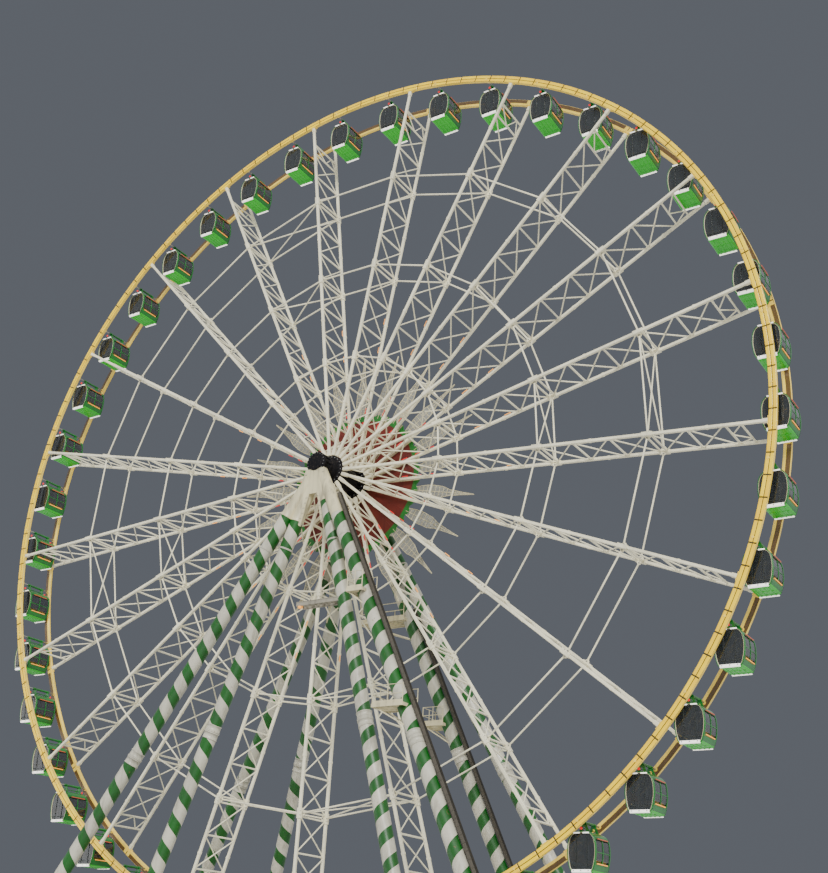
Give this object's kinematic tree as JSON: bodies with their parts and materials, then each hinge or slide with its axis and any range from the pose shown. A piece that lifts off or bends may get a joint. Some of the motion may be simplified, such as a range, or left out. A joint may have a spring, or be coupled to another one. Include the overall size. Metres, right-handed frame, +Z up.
{
  "type": "scale model of a ferris wheel",
  "caption": "Fairground observation wheel, a scale model: cabins hang level from twin rims on truss spokes that turn on a fixed axle head held by splayed legs.",
  "frame": {"origin": "centre of the footprint at ground level", "axes": "+Z up, +Y along the axle towards the back, +X to the right as seen from the front"},
  "size_m": [28.7884, 9.12, 29.9717],
  "materials": {
    "cream_paint": "satin cream paint on steel",
    "rim_panel": "warm yellow light panels",
    "green_paint": "glossy green paint",
    "red_panel": "matt dark red panel",
    "striped_paint": "green and white spiral stripes",
    "axle_steel": "dark oiled steel",
    "galvanised_steel": "galvanised steel"
  },
  "bodies": {
    "stand": {"base_frame": "galvanised_steel", "front_head": "cream_paint", "back_head": "cream_paint", "front_left_legs": "striped_paint", "front_right_legs": "striped_paint", "back_left_legs": "striped_paint", "back_right_legs": "striped_paint"},
    "wheel": {"hub": "axle_steel", "front_rim": "rim_panel", "back_rim": "rim_panel", "spokes_a": "cream_paint", "spokes_b": "cream_paint", "spokes_c": "cream_paint", "outer_tie_ring": "cream_paint", "middle_tie_ring": "cream_paint", "inner_tie_ring": "cream_paint", "star_ornament": "red_panel"},
    "cabin_01": {"cabin_01": "green_paint"},
    "cabin_02": {"cabin_02": "green_paint"},
    "cabin_03": {"cabin_03": "green_paint"},
    "cabin_04": {"cabin_04": "green_paint"},
    "cabin_05": {"cabin_05": "green_paint"},
    "cabin_06": {"cabin_06": "green_paint"},
    "cabin_07": {"cabin_07": "green_paint"},
    "cabin_08": {"cabin_08": "green_paint"},
    "cabin_09": {"cabin_09": "green_paint"},
    "cabin_10": {"cabin_10": "green_paint"},
    "cabin_11": {"cabin_11": "green_paint"},
    "cabin_12": {"cabin_12": "green_paint"},
    "cabin_13": {"cabin_13": "green_paint"},
    "cabin_14": {"cabin_14": "green_paint"},
    "cabin_15": {"cabin_15": "green_paint"},
    "cabin_16": {"cabin_16": "green_paint"},
    "cabin_17": {"cabin_17": "green_paint"},
    "cabin_18": {"cabin_18": "green_paint"},
    "cabin_19": {"cabin_19": "green_paint"},
    "cabin_20": {"cabin_20": "green_paint"},
    "cabin_21": {"cabin_21": "green_paint"},
    "cabin_22": {"cabin_22": "green_paint"},
    "cabin_23": {"cabin_23": "green_paint"},
    "cabin_24": {"cabin_24": "green_paint"},
    "cabin_25": {"cabin_25": "green_paint"},
    "cabin_26": {"cabin_26": "green_paint"},
    "cabin_27": {"cabin_27": "green_paint"},
    "cabin_28": {"cabin_28": "green_paint"},
    "cabin_29": {"cabin_29": "green_paint"},
    "cabin_30": {"cabin_30": "green_paint"},
    "cabin_31": {"cabin_31": "green_paint"},
    "cabin_32": {"cabin_32": "green_paint"},
    "cabin_33": {"cabin_33": "green_paint"},
    "cabin_34": {"cabin_34": "green_paint"},
    "cabin_35": {"cabin_35": "green_paint"},
    "cabin_36": {"cabin_36": "green_paint"},
    "cabin_37": {"cabin_37": "green_paint"},
    "cabin_38": {"cabin_38": "green_paint"},
    "cabin_39": {"cabin_39": "green_paint"},
    "cabin_40": {"cabin_40": "green_paint"},
    "cabin_41": {"cabin_41": "green_paint"},
    "cabin_42": {"cabin_42": "green_paint"}
  },
  "joints": [
    {"name": "wheel_spin", "type": "hinge", "parent": "stand", "child": "wheel", "pos_m": [0, -0.415, 15.825], "axis": [0, 1, 0], "continuous": true},
    {"name": "cabin_01_swing", "type": "hinge", "parent": "wheel", "child": "cabin_01", "pos_m": [5.25679, -0.415, 28.8006], "axis": [0, 1, 0], "continuous": true},
    {"name": "cabin_02_swing", "type": "hinge", "parent": "wheel", "child": "cabin_02", "pos_m": [3.26416, -0.415, 29.43916], "axis": [0, 1, 0], "continuous": true},
    {"name": "cabin_03_swing", "type": "hinge", "parent": "wheel", "child": "cabin_03", "pos_m": [1.19862, -0.415, 29.7736], "axis": [0, 1, 0], "continuous": true},
    {"name": "cabin_04_swing", "type": "hinge", "parent": "wheel", "child": "cabin_04", "pos_m": [-0.8937, -0.415, 29.79645], "axis": [0, 1, 0], "continuous": true},
    {"name": "cabin_05_swing", "type": "hinge", "parent": "wheel", "child": "cabin_05", "pos_m": [-2.96605, -0.415, 29.5072], "axis": [0, 1, 0], "continuous": true},
    {"name": "cabin_06_swing", "type": "hinge", "parent": "wheel", "child": "cabin_06", "pos_m": [-4.97215, -0.415, 28.91231], "axis": [0, 1, 0], "continuous": true},
    {"name": "cabin_07_swing", "type": "hinge", "parent": "wheel", "child": "cabin_07", "pos_m": [-6.86718, -0.415, 28.02508], "axis": [0, 1, 0], "continuous": true},
    {"name": "cabin_08_swing", "type": "hinge", "parent": "wheel", "child": "cabin_08", "pos_m": [-8.6088, -0.415, 26.86531], "axis": [0, 1, 0], "continuous": true},
    {"name": "cabin_09_swing", "type": "hinge", "parent": "wheel", "child": "cabin_09", "pos_m": [-10.15812, -0.415, 25.45893], "axis": [0, 1, 0], "continuous": true},
    {"name": "cabin_10_swing", "type": "hinge", "parent": "wheel", "child": "cabin_10", "pos_m": [-11.48053, -0.415, 23.83733], "axis": [0, 1, 0], "continuous": true},
    {"name": "cabin_11_swing", "type": "hinge", "parent": "wheel", "child": "cabin_11", "pos_m": [-12.54648, -0.415, 22.03676], "axis": [0, 1, 0], "continuous": true},
    {"name": "cabin_12_swing", "type": "hinge", "parent": "wheel", "child": "cabin_12", "pos_m": [-13.33216, -0.415, 20.09742], "axis": [0, 1, 0], "continuous": true},
    {"name": "cabin_13_swing", "type": "hinge", "parent": "wheel", "child": "cabin_13", "pos_m": [-13.82002, -0.415, 18.06265], "axis": [0, 1, 0], "continuous": true},
    {"name": "cabin_14_swing", "type": "hinge", "parent": "wheel", "child": "cabin_14", "pos_m": [-13.99916, -0.415, 15.97789], "axis": [0, 1, 0], "continuous": true},
    {"name": "cabin_15_swing", "type": "hinge", "parent": "wheel", "child": "cabin_15", "pos_m": [-13.86559, -0.415, 13.88971], "axis": [0, 1, 0], "continuous": true},
    {"name": "cabin_16_swing", "type": "hinge", "parent": "wheel", "child": "cabin_16", "pos_m": [-13.42229, -0.415, 11.84477], "axis": [0, 1, 0], "continuous": true},
    {"name": "cabin_17_swing", "type": "hinge", "parent": "wheel", "child": "cabin_17", "pos_m": [-12.67915, -0.415, 9.88874], "axis": [0, 1, 0], "continuous": true},
    {"name": "cabin_18_swing", "type": "hinge", "parent": "wheel", "child": "cabin_18", "pos_m": [-11.65278, -0.415, 8.06531], "axis": [0, 1, 0], "continuous": true},
    {"name": "cabin_19_swing", "type": "hinge", "parent": "wheel", "child": "cabin_19", "pos_m": [-10.3661, -0.415, 6.41522], "axis": [0, 1, 0], "continuous": true},
    {"name": "cabin_20_swing", "type": "hinge", "parent": "wheel", "child": "cabin_20", "pos_m": [-8.84787, -0.415, 4.97534], "axis": [0, 1, 0], "continuous": true},
    {"name": "cabin_21_swing", "type": "hinge", "parent": "wheel", "child": "cabin_21", "pos_m": [-7.13199, -0.415, 3.77781], "axis": [0, 1, 0], "continuous": true},
    {"name": "cabin_22_swing", "type": "hinge", "parent": "wheel", "child": "cabin_22", "pos_m": [-5.25679, -0.415, 2.8494], "axis": [0, 1, 0], "continuous": true},
    {"name": "cabin_23_swing", "type": "hinge", "parent": "wheel", "child": "cabin_23", "pos_m": [-3.26416, -0.415, 2.21084], "axis": [0, 1, 0], "continuous": true},
    {"name": "cabin_24_swing", "type": "hinge", "parent": "wheel", "child": "cabin_24", "pos_m": [-1.19862, -0.415, 1.87641], "axis": [0, 1, 0], "continuous": true},
    {"name": "cabin_25_swing", "type": "hinge", "parent": "wheel", "child": "cabin_25", "pos_m": [0.8937, -0.415, 1.85355], "axis": [0, 1, 0], "continuous": true},
    {"name": "cabin_26_swing", "type": "hinge", "parent": "wheel", "child": "cabin_26", "pos_m": [2.96605, -0.415, 2.1428], "axis": [0, 1, 0], "continuous": true},
    {"name": "cabin_27_swing", "type": "hinge", "parent": "wheel", "child": "cabin_27", "pos_m": [4.97215, -0.415, 2.73769], "axis": [0, 1, 0], "continuous": true},
    {"name": "cabin_28_swing", "type": "hinge", "parent": "wheel", "child": "cabin_28", "pos_m": [6.86718, -0.415, 3.62492], "axis": [0, 1, 0], "continuous": true},
    {"name": "cabin_29_swing", "type": "hinge", "parent": "wheel", "child": "cabin_29", "pos_m": [8.6088, -0.415, 4.78469], "axis": [0, 1, 0], "continuous": true},
    {"name": "cabin_30_swing", "type": "hinge", "parent": "wheel", "child": "cabin_30", "pos_m": [10.15812, -0.415, 6.19107], "axis": [0, 1, 0], "continuous": true},
    {"name": "cabin_31_swing", "type": "hinge", "parent": "wheel", "child": "cabin_31", "pos_m": [11.48053, -0.415, 7.81267], "axis": [0, 1, 0], "continuous": true},
    {"name": "cabin_32_swing", "type": "hinge", "parent": "wheel", "child": "cabin_32", "pos_m": [12.54648, -0.415, 9.61324], "axis": [0, 1, 0], "continuous": true},
    {"name": "cabin_33_swing", "type": "hinge", "parent": "wheel", "child": "cabin_33", "pos_m": [13.33216, -0.415, 11.55258], "axis": [0, 1, 0], "continuous": true},
    {"name": "cabin_34_swing", "type": "hinge", "parent": "wheel", "child": "cabin_34", "pos_m": [13.82002, -0.415, 13.58735], "axis": [0, 1, 0], "continuous": true},
    {"name": "cabin_35_swing", "type": "hinge", "parent": "wheel", "child": "cabin_35", "pos_m": [13.99916, -0.415, 15.67211], "axis": [0, 1, 0], "continuous": true},
    {"name": "cabin_36_swing", "type": "hinge", "parent": "wheel", "child": "cabin_36", "pos_m": [13.86559, -0.415, 17.76029], "axis": [0, 1, 0], "continuous": true},
    {"name": "cabin_37_swing", "type": "hinge", "parent": "wheel", "child": "cabin_37", "pos_m": [13.42229, -0.415, 19.80523], "axis": [0, 1, 0], "continuous": true},
    {"name": "cabin_38_swing", "type": "hinge", "parent": "wheel", "child": "cabin_38", "pos_m": [12.67915, -0.415, 21.76126], "axis": [0, 1, 0], "continuous": true},
    {"name": "cabin_39_swing", "type": "hinge", "parent": "wheel", "child": "cabin_39", "pos_m": [11.65278, -0.415, 23.58469], "axis": [0, 1, 0], "continuous": true},
    {"name": "cabin_40_swing", "type": "hinge", "parent": "wheel", "child": "cabin_40", "pos_m": [10.3661, -0.415, 25.23478], "axis": [0, 1, 0], "continuous": true},
    {"name": "cabin_41_swing", "type": "hinge", "parent": "wheel", "child": "cabin_41", "pos_m": [8.84787, -0.415, 26.67466], "axis": [0, 1, 0], "continuous": true},
    {"name": "cabin_42_swing", "type": "hinge", "parent": "wheel", "child": "cabin_42", "pos_m": [7.13199, -0.415, 27.87219], "axis": [0, 1, 0], "continuous": true}
  ],
  "couplings": [
    {"joint": "cabin_01_swing", "follows": "wheel_spin", "ratio": -1},
    {"joint": "cabin_02_swing", "follows": "wheel_spin", "ratio": -1},
    {"joint": "cabin_03_swing", "follows": "wheel_spin", "ratio": -1},
    {"joint": "cabin_04_swing", "follows": "wheel_spin", "ratio": -1},
    {"joint": "cabin_05_swing", "follows": "wheel_spin", "ratio": -1},
    {"joint": "cabin_06_swing", "follows": "wheel_spin", "ratio": -1},
    {"joint": "cabin_07_swing", "follows": "wheel_spin", "ratio": -1},
    {"joint": "cabin_08_swing", "follows": "wheel_spin", "ratio": -1},
    {"joint": "cabin_09_swing", "follows": "wheel_spin", "ratio": -1},
    {"joint": "cabin_10_swing", "follows": "wheel_spin", "ratio": -1},
    {"joint": "cabin_11_swing", "follows": "wheel_spin", "ratio": -1},
    {"joint": "cabin_12_swing", "follows": "wheel_spin", "ratio": -1},
    {"joint": "cabin_13_swing", "follows": "wheel_spin", "ratio": -1},
    {"joint": "cabin_14_swing", "follows": "wheel_spin", "ratio": -1},
    {"joint": "cabin_15_swing", "follows": "wheel_spin", "ratio": -1},
    {"joint": "cabin_16_swing", "follows": "wheel_spin", "ratio": -1},
    {"joint": "cabin_17_swing", "follows": "wheel_spin", "ratio": -1},
    {"joint": "cabin_18_swing", "follows": "wheel_spin", "ratio": -1},
    {"joint": "cabin_19_swing", "follows": "wheel_spin", "ratio": -1},
    {"joint": "cabin_20_swing", "follows": "wheel_spin", "ratio": -1},
    {"joint": "cabin_21_swing", "follows": "wheel_spin", "ratio": -1},
    {"joint": "cabin_22_swing", "follows": "wheel_spin", "ratio": -1},
    {"joint": "cabin_23_swing", "follows": "wheel_spin", "ratio": -1},
    {"joint": "cabin_24_swing", "follows": "wheel_spin", "ratio": -1},
    {"joint": "cabin_25_swing", "follows": "wheel_spin", "ratio": -1},
    {"joint": "cabin_26_swing", "follows": "wheel_spin", "ratio": -1},
    {"joint": "cabin_27_swing", "follows": "wheel_spin", "ratio": -1},
    {"joint": "cabin_28_swing", "follows": "wheel_spin", "ratio": -1},
    {"joint": "cabin_29_swing", "follows": "wheel_spin", "ratio": -1},
    {"joint": "cabin_30_swing", "follows": "wheel_spin", "ratio": -1},
    {"joint": "cabin_31_swing", "follows": "wheel_spin", "ratio": -1},
    {"joint": "cabin_32_swing", "follows": "wheel_spin", "ratio": -1},
    {"joint": "cabin_33_swing", "follows": "wheel_spin", "ratio": -1},
    {"joint": "cabin_34_swing", "follows": "wheel_spin", "ratio": -1},
    {"joint": "cabin_35_swing", "follows": "wheel_spin", "ratio": -1},
    {"joint": "cabin_36_swing", "follows": "wheel_spin", "ratio": -1},
    {"joint": "cabin_37_swing", "follows": "wheel_spin", "ratio": -1},
    {"joint": "cabin_38_swing", "follows": "wheel_spin", "ratio": -1},
    {"joint": "cabin_39_swing", "follows": "wheel_spin", "ratio": -1},
    {"joint": "cabin_40_swing", "follows": "wheel_spin", "ratio": -1},
    {"joint": "cabin_41_swing", "follows": "wheel_spin", "ratio": -1},
    {"joint": "cabin_42_swing", "follows": "wheel_spin", "ratio": -1}
  ]
}
